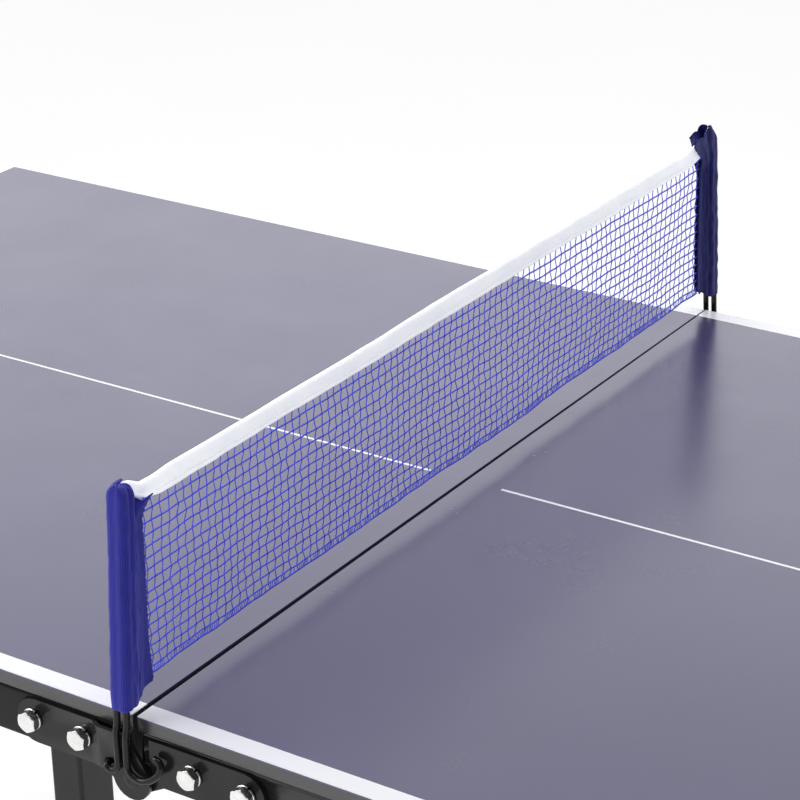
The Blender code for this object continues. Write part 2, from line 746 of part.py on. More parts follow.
def main():
    clear_scene()
    right = pivot("fold_axis", 0.0, HINGE_Z)
    centre_legs = pivot("centre_legs_axis", CENTRE_LEG_X, BOLT_Z)
    left_legs = pivot("left_end_legs_axis", -END_LEG_X, BOLT_Z)
    right_legs = pivot("right_end_legs_axis", END_LEG_X, BOLT_Z)
    right_legs.parent = right
    right_legs.matrix_parent_inverse = right.matrix_basis.inverted()
    net = pivot("net_lift", 0.0, HEIGHT)
    rails = {}
    for (name, half), frame in zip(HALVES, (None, right)):
        make_board(name, half, frame)
        rails[name] = make_rails(name, half, frame)
    make_hinges(rails, None, right)
    make_centre_legs(None, centre_legs)
    make_end_legs("left", LEFT, None, left_legs)
    make_end_legs("right", RIGHT, right, right_legs)
    for side_name, side in SIDES:
        make_post(side_name, side, None)
    make_net(net)


main()
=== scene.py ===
"""Looks of the folding table tennis table: its camera, light, fine pieces and materials."""

import math
import random

import bmesh
import bpy
from mathutils import Matrix, Vector, noise


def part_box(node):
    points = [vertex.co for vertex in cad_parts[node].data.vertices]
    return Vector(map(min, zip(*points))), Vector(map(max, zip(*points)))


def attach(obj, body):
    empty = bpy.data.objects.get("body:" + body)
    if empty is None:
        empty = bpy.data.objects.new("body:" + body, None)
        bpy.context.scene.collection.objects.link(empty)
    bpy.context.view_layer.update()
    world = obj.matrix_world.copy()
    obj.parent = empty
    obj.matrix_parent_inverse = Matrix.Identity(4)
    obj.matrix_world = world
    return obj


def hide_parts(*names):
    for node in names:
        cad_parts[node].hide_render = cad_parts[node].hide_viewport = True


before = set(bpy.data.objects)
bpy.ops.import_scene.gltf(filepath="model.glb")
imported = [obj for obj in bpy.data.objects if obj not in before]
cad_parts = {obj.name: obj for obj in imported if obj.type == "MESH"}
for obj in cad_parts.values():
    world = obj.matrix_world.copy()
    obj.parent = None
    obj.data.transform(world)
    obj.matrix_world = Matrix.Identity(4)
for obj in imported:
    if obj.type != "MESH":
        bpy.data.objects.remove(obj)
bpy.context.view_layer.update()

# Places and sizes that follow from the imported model
BOARD_LOW, BOARD_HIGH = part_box("left_board")
HEIGHT = BOARD_HIGH.z
HALF_LENGTH = -BOARD_LOW.x
HALF_WIDTH = BOARD_HIGH.y
SIDES = (("near", -1), ("far", 1))
CLEAR = 0.0003


# ---------------------------------------------------------------- camera and light


def make_camera():
    """A long lens that looks down along the net from beyond the right half's near side."""
    yaw = math.radians(-33.45)
    pitch = math.radians(24.13)
    roll = math.radians(-0.886)
    place = Vector((1.122, -1.809, 1.037)) * (2 * HALF_WIDTH) + Vector((0, 0, HEIGHT))
    forward = Vector(
        (math.sin(yaw) * math.cos(pitch), math.cos(yaw) * math.cos(pitch), -math.sin(pitch))
    )
    right = Vector((math.cos(yaw), -math.sin(yaw), 0.0))
    up = right.cross(forward)
    across = math.cos(roll) * right + math.sin(roll) * up
    upward = -math.sin(roll) * right + math.cos(roll) * up
    data = bpy.data.cameras.new("camera")
    data.sensor_width = 36.0
    data.lens = 112.57
    data.clip_end = 100.0
    camera = bpy.data.objects.new("camera", data)
    turn = Matrix((across, upward, -forward)).transposed().to_4x4()
    camera.matrix_world = Matrix.Translation(place) @ turn
    bpy.context.scene.collection.objects.link(camera)
    bpy.context.scene.camera = camera


def area_light(name, place, target, size, power):
    data = bpy.data.lights.new(name, "AREA")
    data.shape = "RECTANGLE"
    data.size, data.size_y = size
    data.energy = power
    light = bpy.data.objects.new(name, data)
    aim = (Vector(target) - Vector(place)).to_track_quat("-Z", "Y")
    light.matrix_world = Matrix.Translation(place) @ aim.to_matrix().to_4x4()
    bpy.context.scene.collection.objects.link(light)


# The room's light: how it changes from the near right corner to the far left one, and with height
WINDOW_TURN = ((0.08, 0.14), (0.22, 0.26), (0.5, 0.60), (0.78, 1.0))
WINDOW_RISE = (
    (0.0, 0.60),
    (0.28, 0.60),
    (0.36, 0.84),
    (0.41, 0.98),
    (0.45, 0.80),
    (0.50, 0.52),
    (0.56, 0.34),
    (0.64, 0.22),
    (1.0, 0.12),
)
WINDOW_STRENGTH = 2.4


def make_light():
    """A white room, brightest low behind the far left corner, with soft boxes above."""
    world = bpy.data.worlds.new("studio")
    bpy.context.scene.world = world
    world.use_nodes = True
    tree = Nodes(world.node_tree)
    where = tree.add("ShaderNodeTexCoord")
    parts = tree.add("ShaderNodeSeparateXYZ", Vector=where.outputs["Generated"])
    across = tree.math("MULTIPLY", parts.outputs["X"], -0.40)
    facing = tree.math("MULTIPLY_ADD", parts.outputs["Y"], 0.30, across)
    facing = tree.math("ADD", facing, 0.5)
    window = tree.ramp(facing, [(at, (v, v, v)) for at, v in WINDOW_TURN])
    height = tree.ramp(parts.outputs["Z"], [(at, (v, v, 1.02 * v)) for at, v in WINDOW_RISE])
    colour = tree.mix("MULTIPLY", 1.0, window, height)
    tree.link(colour, tree.tree.nodes["Background"].inputs["Color"])
    tree.tree.nodes["Background"].inputs["Strength"].default_value = WINDOW_STRENGTH
    area_light("key", (-1.9, -1.3, 2.5), (0.0, 0.0, HEIGHT), (1.6, 1.6), 26)
    area_light("top", (-0.2, 0.6, 3.0), (0.0, 0.0, HEIGHT), (2.4, 2.4), 34)


class Nodes:
    """Short calls for building a node tree."""

    def __init__(self, tree):
        self.tree = tree

    def link(self, source, target):
        self.tree.links.new(source, target)

    def add(self, kind, **inputs):
        node = self.tree.nodes.new(kind)
        for key, value in inputs.items():
            self.put(node.inputs[key.replace("_", " ")], value)
        return node

    def put(self, socket, value):
        if isinstance(value, bpy.types.NodeSocket):
            self.link(value, socket)
        elif value is not None:
            socket.default_value = value

    def math(self, operation, a, b=None, c=None):
        node = self.tree.nodes.new("ShaderNodeMath")
        node.operation = operation
        for socket, value in zip(node.inputs, (a, b, c)):
            self.put(socket, value)
        return node.outputs[0]

    def ramp(self, value, stops):
        node = self.tree.nodes.new("ShaderNodeValToRGB")
        node.color_ramp.elements[0].position = stops[0][0]
        node.color_ramp.elements[0].color = (*stops[0][1], 1.0)
        node.color_ramp.elements[1].position = stops[-1][0]
        node.color_ramp.elements[1].color = (*stops[-1][1], 1.0)
        for place, colour in stops[1:-1]:
            node.color_ramp.elements.new(place).color = (*colour, 1.0)
        self.link(value, node.inputs[0])
        return node.outputs[0]

    def greys(self, value, low, high):
        """A ramp between two greys, each given as its place and its shade."""
        return self.ramp(value, [(place, (shade,) * 3) for place, shade in (low, high)])

    def mix(self, blend, share, a, b):
        node = self.tree.nodes.new("ShaderNodeMix")
        node.data_type = "RGBA"
        node.blend_type = blend
        self.put(node.inputs[0], share)
        self.put(node.inputs[6], a)
        self.put(node.inputs[7], b)
        return node.outputs[2]

    def noise(self, vector, scale, detail=3.0, rough=0.55, stretch=None):
        if stretch is not None:
            mapping = self.add("ShaderNodeMapping", Vector=vector)
            mapping.inputs["Scale"].default_value = stretch
            vector = mapping.outputs[0]
        node = self.add("ShaderNodeTexNoise", Vector=vector)
        node.inputs["Scale"].default_value = scale
        node.inputs["Detail"].default_value = detail
        node.inputs["Roughness"].default_value = rough
        return node.outputs["Fac"]

    def bump(self, height, strength, distance):
        node = self.add("ShaderNodeBump", Height=height)
        node.inputs["Strength"].default_value = strength
        node.inputs["Distance"].default_value = distance
        return node.outputs[0]


def new_material(name, **values):
    """A material, its node helper and its Principled shader with the given plain values."""
    material = bpy.data.materials.new(name)
    material.use_nodes = True
    shader = material.node_tree.nodes["Principled BSDF"]
    for key, value in values.items():
        shader.inputs[key.replace("_", " ")].default_value = value
    return material, Nodes(material.node_tree), shader


def dress(tree, shader, colour, rough, normal):
    """Links a material's colour, roughness and relief to its shader."""
    for name, socket in (("Base Color", colour), ("Roughness", rough), ("Normal", normal)):
        tree.link(socket, shader.inputs[name])


# ---------------------------------------------------------------- materials

STRIPE = 0.015
CENTRE_LINE = 0.0024
CENTRE_LINE_START = 0.030


def board_paint():
    """Slate paint with the white court lines, on boards with a charcoal edge band."""
    material, tree, shader = new_material("board_paint", IOR=1.8)
    where = tree.add("ShaderNodeTexCoord").outputs["Object"]
    parts = tree.add("ShaderNodeSeparateXYZ", Vector=where)
    along = tree.math("ABSOLUTE", parts.outputs["X"])
    across = tree.math("ABSOLUTE", parts.outputs["Y"])
    edge_noise = tree.math("MULTIPLY", tree.math("SUBTRACT", tree.noise(where, 420.0), 0.5), 0.0004)
    side_line = tree.math(
        "GREATER_THAN", tree.math("ADD", across, edge_noise), HALF_WIDTH - STRIPE
    )
    end_line = tree.math(
        "GREATER_THAN", tree.math("ADD", along, edge_noise), HALF_LENGTH - STRIPE
    )
    centre = tree.math("LESS_THAN", tree.math("ADD", across, edge_noise), CENTRE_LINE / 2)
    centre = tree.math("MULTIPLY", centre, tree.math("GREATER_THAN", along, CENTRE_LINE_START))
    lines = tree.math("MAXIMUM", tree.math("MAXIMUM", side_line, end_line), centre)
    on_top = tree.math("GREATER_THAN", parts.outputs["Z"], HEIGHT - 0.0004)
    lines = tree.math("MULTIPLY", lines, on_top)
    cloud = tree.noise(where, 3.0, 4.0)
    fine = tree.noise(where, 900.0, 2.0)
    slate = tree.ramp(cloud, ((0.3, (0.044, 0.038, 0.116)), (0.7, (0.051, 0.045, 0.130))))
    slate = tree.mix("MULTIPLY", 0.12, slate, tree.greys(fine, (0.3, 0.7), (0.7, 1)))
    white = tree.ramp(cloud, ((0.3, (0.81, 0.82, 0.86)), (0.7, (0.87, 0.88, 0.91))))
    top = tree.mix("MIX", lines, slate, white)
    band = tree.ramp(fine, ((0.3, (0.030, 0.030, 0.032)), (0.7, (0.045, 0.044, 0.048))))
    worn = tree.noise(where, 60.0, 4.0, 0.7)
    drop = tree.math("SUBTRACT", HEIGHT - 0.0008, tree.math("MULTIPLY", worn, 0.0014))
    overspray = tree.math("GREATER_THAN", parts.outputs["Z"], drop)
    arris = tree.mix("MIX", overspray, band, (0.055, 0.052, 0.16, 1.0))
    smudge = tree.noise(where, 9.0, 5.0, 0.65)
    gloss = tree.greys(smudge, (0.25, 0.23), (0.75, 0.29))
    grain = tree.bump(tree.noise(where, 650.0, 2.0), 0.05, 0.0004)
    dress(tree, shader, tree.mix("MIX", on_top, arris, top), gloss, grain)
    return material


def powder_coat(name="powder_coat", base=0.010, gloss=(0.14, 0.24)):
    """Glossy black powder coat with a faint orange peel and faint lighter dusty patches at random."""
    material, tree, shader = new_material(name, IOR=1.38)
    where = tree.add("ShaderNodeTexCoord").outputs["Object"]
    cloud = tree.noise(where, 24.0, 5.0, 0.6)
    low = (base, base, base * 1.02)
    high = (base * 1.9, base * 1.95, base * 1.9)
    colour = tree.ramp(cloud, ((0.3, low), (0.75, high)))
    smear = tree.noise(where, 60.0, 4.0, 0.6)
    rough = tree.greys(smear, (0.3, gloss[0]), (0.75, gloss[1]))
    peel = tree.noise(where, 520.0, 2.0)
    dress(tree, shader, colour, rough, tree.bump(peel, 0.10, 0.0003))
    return material


def zinc_plate():
    """Bright zinc with faint turning marks and dull patches."""
    material, tree, shader = new_material("zinc_plate", Metallic=1.0)
    where = tree.add("ShaderNodeTexCoord").outputs["Object"]
    cloud = tree.noise(where, 160.0, 4.0, 0.6)
    colour = tree.ramp(cloud, ((0.3, (0.78, 0.78, 0.76)), (0.7, (0.93, 0.93, 0.92))))
    rough = tree.greys(tree.noise(where, 700.0, 3.0), (0.3, 0.16), (0.7, 0.30))
    dress(tree, shader, colour, rough, tree.bump(tree.noise(where, 1500.0), 0.08, 0.0002))
    return material


def black_plastic():
    """Moulded black plastic with a fine spark-eroded grain."""
    material, tree, shader = new_material("black_plastic", IOR=1.46)
    where = tree.add("ShaderNodeTexCoord").outputs["Object"]
    cloud = tree.noise(where, 40.0, 4.0)
    colour = tree.greys(cloud, (0.3, 0.014), (0.7, 0.024))
    rough = tree.greys(cloud, (0.3, 0.42), (0.7, 0.58))
    dress(tree, shader, colour, rough, tree.bump(tree.noise(where, 2200.0, 2.0), 0.35, 0.0002))
    return material


def knit(name, shaded_colour, lit):
    """Ribbed polyester knit, painted from a shaded to a lit colour. Its UV map is in metres, across and
    along the ribs.
    """
    material, tree, shader = new_material(
        name, IOR=1.45, Sheen_Weight=0.35, Sheen_Roughness=0.4, Specular_IOR_Level=0.35
    )
    where = tree.add("ShaderNodeUVMap").outputs[0]
    parts = tree.add("ShaderNodeSeparateXYZ", Vector=where)
    drift = tree.math("MULTIPLY", tree.noise(where, 130.0, 2.0), 0.9)
    ribs = tree.math("SINE", tree.math("ADD", tree.math("MULTIPLY", parts.outputs["X"], 6600.0), drift))
    loops = tree.math("SINE", tree.math("MULTIPLY", parts.outputs["Y"], 9400.0))
    weave = tree.math("ADD", tree.math("MULTIPLY", ribs, 0.5), tree.math("MULTIPLY", loops, 0.22))
    weave = tree.math("ADD", weave, 0.5)
    streak = tree.noise(where, 1.0, 4.0, 0.6, (900.0, 40.0, 1.0))
    tone = tree.math("ADD", tree.math("MULTIPLY", weave, 0.45), tree.math("MULTIPLY", streak, 0.55))
    # Painted light and shade: the colour runs from a shaded colour to a lit one and is darker in the
    # rib troughs; the streaks are the knit's own tone.
    colour = tree.ramp(tone, ((0.2, shaded_colour), (0.8, lit)))
    rough = tree.greys(streak, (0.3, 0.55), (0.7, 0.75))
    shader.inputs["Sheen Tint"].default_value = (0.45, 0.5, 1.0, 1.0)
    dress(tree, shader, colour, rough, tree.bump(weave, 0.5, 0.0003))
    return material


def cord_fibre():
    """Bright blue knotless net cord with a twisted, slightly fuzzy surface."""
    material, tree, shader = new_material(
        "net_cord", IOR=1.45, Sheen_Weight=0.3, Sheen_Roughness=0.5
    )
    where = tree.add("ShaderNodeTexCoord").outputs["Object"]
    twist = tree.noise(where, 1500.0, 3.0, 0.6)
    cloud = tree.noise(where, 70.0, 3.0)
    tone = tree.math("ADD", tree.math("MULTIPLY", twist, 0.5), tree.math("MULTIPLY", cloud, 0.5))
    colour = tree.ramp(tone, ((0.32, (0.045, 0.060, 0.78)), (0.68, (0.095, 0.13, 1.0))))
    rough = tree.greys(twist, (0.3, 0.5), (0.7, 0.7))
    dress(tree, shader, colour, rough, tree.bump(twist, 0.5, 0.0003))
    return material


TAPE_PAINTED_GLOW = 0.55  # painted glow: the tape's emission stands in for light shining through it


def woven_tape():
    """White woven tape with a painted glow for the light shining through it. Its UV map is in metres.
    """
    material, tree, shader = new_material(
        "woven_tape", IOR=1.45, Sheen_Weight=0.15, Emission_Strength=TAPE_PAINTED_GLOW
    )
    where = tree.add("ShaderNodeUVMap").outputs[0]
    parts = tree.add("ShaderNodeSeparateXYZ", Vector=where)
    warp = tree.math("SINE", tree.math("MULTIPLY", parts.outputs["X"], 9000.0))
    weft = tree.math("SINE", tree.math("MULTIPLY", parts.outputs["Y"], 12500.0))
    weave = tree.math("ADD", tree.math("MULTIPLY", tree.math("MULTIPLY", warp, weft), 0.5), 0.5)
    cloud = tree.noise(where, 45.0, 4.0, 0.6)
    tone = tree.math("ADD", tree.math("MULTIPLY", weave, 0.3), tree.math("MULTIPLY", cloud, 0.7))
    colour = tree.ramp(tone, ((0.3, (0.78, 0.80, 0.86)), (0.7, (0.90, 0.91, 0.94))))
    # Painted glow: the tape's own colour is also emitted, standing in for light shining through the
    # thin tape.
    tree.link(colour, shader.inputs["Emission Color"])
    rough = tree.greys(cloud, (0.3, 0.6), (0.7, 0.8))
    dress(tree, shader, colour, rough, tree.bump(weave, 0.4, 0.0002))
    return material


def thread(name, colour):
    material, tree, shader = new_material(name, Roughness=0.7)
    where = tree.add("ShaderNodeTexCoord").outputs["Object"]
    twist = tree.noise(where, 3000.0, 2.0)
    dark = tuple(0.7 * c for c in colour)
    tree.link(tree.ramp(twist, ((0.3, dark), (0.7, colour))), shader.inputs["Base Color"])
    tree.link(tree.bump(twist, 0.5, 0.0001), shader.inputs["Normal"])
    return material


def floor_white():
    material, tree, shader = new_material("floor_white", Roughness=0.9)
    where = tree.add("ShaderNodeTexCoord").outputs["Object"]
    cloud = tree.noise(where, 1.5, 3.0)
    colour = tree.greys(cloud, (0.3, 0.29), (0.7, 0.31))
    tree.link(colour, shader.inputs["Base Color"])
    shader.inputs["Emission Color"].default_value = (1.0, 1.0, 1.0, 1.0)
    shader.inputs["Emission Strength"].default_value = 0.76
    return material


MATERIALS = {
    "board": board_paint(),
    "black_steel": powder_coat(),
    "wire": powder_coat("wire_coat", 0.006, (0.08, 0.16)),
    "zinc": zinc_plate(),
    "black_plastic": black_plastic(),
    # Each knit is given its painted shaded colour, then its painted lit colour.
    "blue_fabric": knit("blue_knit", (0.009, 0.008, 0.16), (0.045, 0.045, 0.56)),
    # The far sleeve's knit is a darker copy of the blue one: painted shade for its sides turned away
    # from the light.
    "navy_fabric": knit("shaded_blue_knit", (0.006, 0.006, 0.09), (0.018, 0.018, 0.24)),
    "blue_cord": cord_fibre(),
    "white_tape": woven_tape(),
    "blue_thread": thread("blue_thread", (0.05, 0.05, 0.5)),
    "white_thread": thread("white_thread", (0.8, 0.8, 0.82)),
}


# ---------------------------------------------------------------- mesh helpers


def interpolate(value, table):
    """Piecewise-straight value of a table of (place, value) pairs."""
    if value <= table[0][0]:
        return table[0][1]
    for (a, low), (b, high) in zip(table, table[1:]):
        if value <= b:
            share = (value - a) / (b - a)
            return low + (high - low) * share
    return table[-1][1]


def share_past(value, start, span):
    """0 up to a start, 1 from a span beyond it, and straight between."""
    return min(1.0, max(0.0, (value - start) / span))


def arc(centre, radius, start_deg, end_deg, steps):
    """Points along an arc, both ends included."""
    turns = [math.radians(start_deg + (end_deg - start_deg) * i / steps) for i in range(steps + 1)]
    return [(centre[0] + radius * math.cos(a), centre[1] + radius * math.sin(a)) for a in turns]


def rounded_rectangle(low, high, radius, steps=6):
    corners = (
        ((high[0] - radius, high[1] - radius), 0),
        ((low[0] + radius, high[1] - radius), 90),
        ((low[0] + radius, low[1] + radius), 180),
        ((high[0] - radius, low[1] + radius), 270),
    )
    outline = []
    for centre, start in corners:
        outline += arc(centre, radius, start, start + 90, steps)
    return outline


def inset_rectangle(low, high, inset, radius):
    """A rounded rectangle that lies inside two corners by an inset."""
    return rounded_rectangle([c + inset for c in low], [c - inset for c in high], radius)


def ring(outline, along, axis):
    """An outline as 3-D points at one place along an axis."""
    if axis == "X":
        return [(along, u, v) for u, v in outline]
    if axis == "Y":
        return [(u, along, v) for u, v in outline]
    return [(u, v, along) for u, v in outline]


def add_rings(mesh, rings, goes_round=False):
    """Joins neighbouring rings with faces."""
    rows = [[mesh.verts.new(point) for point in points] for points in rings]
    pairs = list(zip(rows, rows[1:]))
    if goes_round:
        pairs.append((rows[-1], rows[0]))
    else:
        mesh.faces.new(rows[0])
        mesh.faces.new(rows[-1])
    for here, there in pairs:
        for i in range(len(here)):
            j = (i + 1) % len(here)
            mesh.faces.new((here[i], here[j], there[j], there[i]))


# How far the net's near end stands from a true net line; the far end is in its place
NET_TURN = Vector((-0.0033, 0.0042, -0.0032))


def turned(point):
    """Where a point of the net set stands once its near end is set over."""
    return point + NET_TURN * ((HALF_WIDTH - point.y) / (2 * HALF_WIDTH))


def piece(name, mesh, look, body, nodes=(), smooth_deg=40, bevel=None):
    """A finished object from a bmesh: shaded, painted, riding on its body."""
    if body == "net":
        for vert in mesh.verts:
            vert.co = turned(vert.co)
    bmesh.ops.recalc_face_normals(mesh, faces=mesh.faces)
    data = bpy.data.meshes.new(name)
    mesh.to_mesh(data)
    mesh.free()
    data.shade_smooth()
    data.set_sharp_from_angle(angle=math.radians(smooth_deg))
    item = bpy.data.objects.new(name, data)
    return place(item, look, body, nodes, bevel)


def place(item, look, body, nodes=(), bevel=None):
    item.data.materials.append(MATERIALS[look])
    bpy.context.scene.collection.objects.link(item)
    if bevel:
        modifier = item.modifiers.new("edges", "BEVEL")
        modifier.width = bevel
        modifier.segments = 3
        modifier.limit_method = "ANGLE"
        modifier.angle_limit = math.radians(35)
        modifier.harden_normals = True
    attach(item, body)
    if nodes:
        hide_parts(*nodes)
    return item


def centre_of(node):
    low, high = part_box(node)
    return (low + high) / 2


# ---------------------------------------------------------------- frame tubes

TUBE_WALL = 0.0015
TUBE_CORNER = 0.0032


def tube_piece(node, axis, body, radius=TUBE_CORNER):
    """A rectangular tube with rolled corners and slightly broken ends, in a node's box."""
    low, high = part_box(node)
    k = "XYZ".index(axis)
    u, v = [i for i in range(3) if i != k]
    wall = TUBE_WALL
    tip = 0.0003
    rows = (
        (0.0, tip, tip),
        (0.0, 0.0, 2 * tip),
        (0.0, 0.0, -2 * tip),
        (0.0, tip, -tip),
        (wall, 0.0, -tip),
        (wall, 0.0, tip),
    )
    rings = []
    for inset, lean, along in rows:
        d = inset + lean
        corner = max(radius - d, 0.0008)
        outline = inset_rectangle((low[u], low[v]), (high[u], high[v]), d, corner)
        rings.append(ring(outline, low[k] + along if along > 0 else high[k] + along, axis))
    mesh = bmesh.new()
    add_rings(mesh, rings, goes_round=True)
    return piece(node + "_tube", mesh, "black_steel", body, (node,), 50)


def rail_plug(name, node, end, outward, body):
    """A plastic plug with a shallow dish in a side rail's end."""
    low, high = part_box(node)
    x = high.x if end > 0 else low.x
    mesh = bmesh.new()
    rim, slim, core, dish = (
        inset_rectangle(low.yz, high.yz, inset, corner)
        for inset, corner in (
            (0.0, TUBE_CORNER),
            (0.0004, 0.0028),
            (TUBE_WALL + CLEAR, 0.0018),
            (0.003, 0.002),
        )
    )
    rows = (
        (dish, 0.0008),
        (dish, 0.0013),
        (slim, 0.0015),
        (rim, 0.0011),
        (rim, 0.0001),
        (core, 0.0001),
        (core, -0.012),
    )
    add_rings(mesh, [ring(outline, x + outward * along, "X") for outline, along in rows])
    return piece(name, mesh, "black_plastic", body, (), 35)


def leg_piece(node, body):
    """A leg with rolled edges and a round top."""
    low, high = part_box(node)
    x = (low.x + high.x) / 2
    half = (high.x - low.x) / 2
    top = high.z - half
    outline = [(high.x, low.z)] + arc((x, top), half, 0, 180, 24) + [(low.x, low.z)]
    mesh = bmesh.new()
    add_rings(mesh, [ring(outline, low.y, "Y"), ring(outline, high.y, "Y")])
    item = piece(node + "_tube", mesh, "black_steel", body, (node,), 35, 0.0026)
    item.modifiers["edges"].segments = 4
    return item


def flat_bar(node, body):
    low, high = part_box(node)
    outline = rounded_rectangle((low.x, low.z), (high.x, high.z), 0.0009, 4)
    mesh = bmesh.new()
    add_rings(mesh, [ring(outline, low.y, "Y"), ring(outline, high.y, "Y")])
    return piece(node + "_flat", mesh, "black_steel", body, (node,), 50, 0.0006)


def foot_piece(node, body):
    """A moulded cap with a soft rim and a groove round its foot."""
    low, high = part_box(node)
    mesh = bmesh.new()
    rows = (
        (0.0026, 0.0),
        (0.0012, 0.0004),
        (0.0002, 0.0016),
        (0.0, 0.0040),
        (0.0004, 0.0046),
        (0.0004, 0.0056),
        (0.0, 0.0062),
        (0.0, 0.0220),
        (0.0003, 0.0236),
        (0.0007, 0.0240),
        (0.0011, 0.0237),
        (0.0012, 0.0226),
        (0.0012, 0.0042),
    )
    rings = []
    for inset, z in rows:
        corner = max(0.0030 - inset, 0.0010)
        outline = inset_rectangle(low.xy, high.xy, inset, corner)
        rings.append(ring(outline, z, "Z"))
    add_rings(mesh, rings)
    return piece(node + "_moulding", mesh, "black_plastic", body, (node,), 60)


def make_frames():
    for half, sign in (("left", -1), ("right", 1)):
        body = half + "_half"
        for side, _ in SIDES:
            node = f"{half}_{side}_rail"
            tube_piece(node, "X", body)
            for place_name, end in (("end", sign), ("inner", -sign)):
                rail_plug(f"{half}_{side}_{place_name}_plug", node, end, end, body)
        for place_name in ("inner", "end"):
            tube_piece(f"{half}_{place_name}_rail", "Y", body)
    for name, body in (
        ("centre", "centre_legs"),
        ("left_end", "left_end_legs"),
        ("right_end", "right_end_legs"),
    ):
        for side, _ in SIDES:
            leg_piece(f"{name}_{side}_leg", body)
            foot_piece(f"{name}_{side}_foot_cap", body)
    tube_piece("left_end_cross_bar", "Y", "left_end_legs", 0.0022)
    tube_piece("right_end_cross_bar", "Y", "right_end_legs", 0.0022)
    flat_bar("centre_cross_bar", "centre_legs")


# ---------------------------------------------------------------- refined steel pieces


def refine(node, look, body, bevel=None, segments=2, smooth_deg=40):
    """A node's solid with its triangles merged into clean faces and its edges broken."""
    mesh = bmesh.new()
    mesh.from_mesh(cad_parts[node].data)
    bmesh.ops.remove_doubles(mesh, verts=mesh.verts, dist=1e-6)
    bmesh.ops.dissolve_limit(
        mesh, angle_limit=math.radians(1.5), verts=mesh.verts, edges=mesh.edges
    )
    item = piece(node + "_fine", mesh, look, body, (node,), smooth_deg, bevel)
    if bevel:
        item.modifiers["edges"].segments = segments
    return item


HEX_ACROSS = 0.013
HEX_TALL = 0.0053
HEX_FACE = 0.0061
WASHER_INNER = 0.0043
WASHER_OUTER = 0.0072
WASHER_TALL = 0.0019
SHANK = 0.0040


def hex_radius(angle, across):
    """Distance from a hexagon's centre to its side in a direction."""
    turn = (angle + math.pi / 6) % (math.pi / 3) - math.pi / 6
    return across / 2 / math.cos(turn)


def hex_ring(centre, limit, along, outward, turn, steps=72):
    """A hexagon whose corners are cut to a circle, at one place along Y."""
    points = []
    for i in range(steps):
        angle = 2 * math.pi * i / steps
        radius = min(hex_radius(angle + turn, HEX_ACROSS), limit)
        x, z = radius * math.cos(angle), radius * math.sin(angle)
        points.append((centre[0] + x, along * outward, centre[1] + z))
    return points


def fine_bolt(node, body, turn, gap_deg):
    """A chamfered hexagon bolt with a dished face, and the split spring washer under it."""
    low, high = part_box(node)
    middle = (low + high) / 2
    centre = (middle.x, middle.z)
    outward = 1 if middle.y > 0 else -1
    face = max(abs(low.y), abs(high.y))
    tip = min(abs(low.y), abs(high.y))
    slope = math.tan(math.radians(62))
    mesh = bmesh.new()
    rows = [
        (0.0030, face - 0.00022),
        (0.0044, face - 0.00020),
        (0.0049, face - 0.00002),
        (HEX_FACE - 0.0003, face),
    ]
    rows += [(HEX_FACE + slope * t, face - 0.00005 - t) for t in (0.0, 0.0002, 0.0004, 0.0006, 0.0008)]
    base = face - HEX_TALL
    rows += [(1.0, base + 0.0004), (HEX_FACE, base + 0.0003), (HEX_FACE, base + 0.0001)]
    rows += [(SHANK, base + 0.0001), (SHANK, tip + 0.0008), (SHANK - 0.0008, tip)]
    add_rings(mesh, [hex_ring(centre, limit, y, outward, turn) for limit, y in rows])
    piece(node + "_hex", mesh, "zinc", body, (node,), 22)

    mesh = bmesh.new()
    low_y = base - WASHER_TALL - 0.0002
    start = math.radians(gap_deg + 6)
    span = math.radians(346)
    steps = 60
    rings = []
    for i in range(steps + 1):
        share = i / steps
        angle = start + span * share
        lift = 0.00045 * (share - 0.5)
        section = (
            (WASHER_INNER, 0.0001),
            (WASHER_INNER, WASHER_TALL - 0.0001),
            (WASHER_INNER + 0.0003, WASHER_TALL),
            (WASHER_OUTER - 0.0004, WASHER_TALL),
            (WASHER_OUTER, WASHER_TALL - 0.0004),
            (WASHER_OUTER, 0.0003),
            (WASHER_OUTER - 0.0003, 0.0),
            (WASHER_INNER + 0.0003, 0.0),
        )
        rings.append(
            [
                (
                    centre[0] + radius * math.cos(angle),
                    outward * (low_y + height + lift),
                    centre[1] + radius * math.sin(angle),
                )
                for radius, height in section
            ]
        )
    add_rings(mesh, rings)
    piece(node + "_spring_washer", mesh, "zinc", body, (), 40)


def pan_screw(name, centre, body, radius=0.0042, tall=0.0022):
    """A cross-recessed pan head that looks down, under a rail."""
    mesh = bmesh.new()
    rings = []
    steps = 32
    for share, height in (
        (0.30, 1.0),
        (0.62, 0.96),
        (0.86, 0.74),
        (1.0, 0.30),
        (1.0, 0.0),
        (0.55, 0.0),
    ):
        points = []
        for i in range(steps):
            angle = 2 * math.pi * i / steps
            points.append(
                (
                    centre[0] + share * radius * math.cos(angle),
                    centre[1] + share * radius * math.sin(angle),
                    centre[2] - height * tall,
                )
            )
        rings.append(points)
    arm = 0.0021
    half = 0.0005
    cross = []
    for i in range(steps):
        angle = 2 * math.pi * i / steps
        near_axis = min(abs(math.cos(angle)), abs(math.sin(angle)))
        reach = min(arm, half / max(near_axis, 0.05))
        cross.append((reach * math.cos(angle), reach * math.sin(angle)))
    for depth, grow in ((0.97, 1.0), (0.35, 0.75)):
        z = centre[2] - depth * tall
        rings.insert(0, [(centre[0] + grow * x, centre[1] + grow * y, z) for x, y in cross])
    add_rings(mesh, rings)
    return piece(name, mesh, "zinc", body, (), 30)


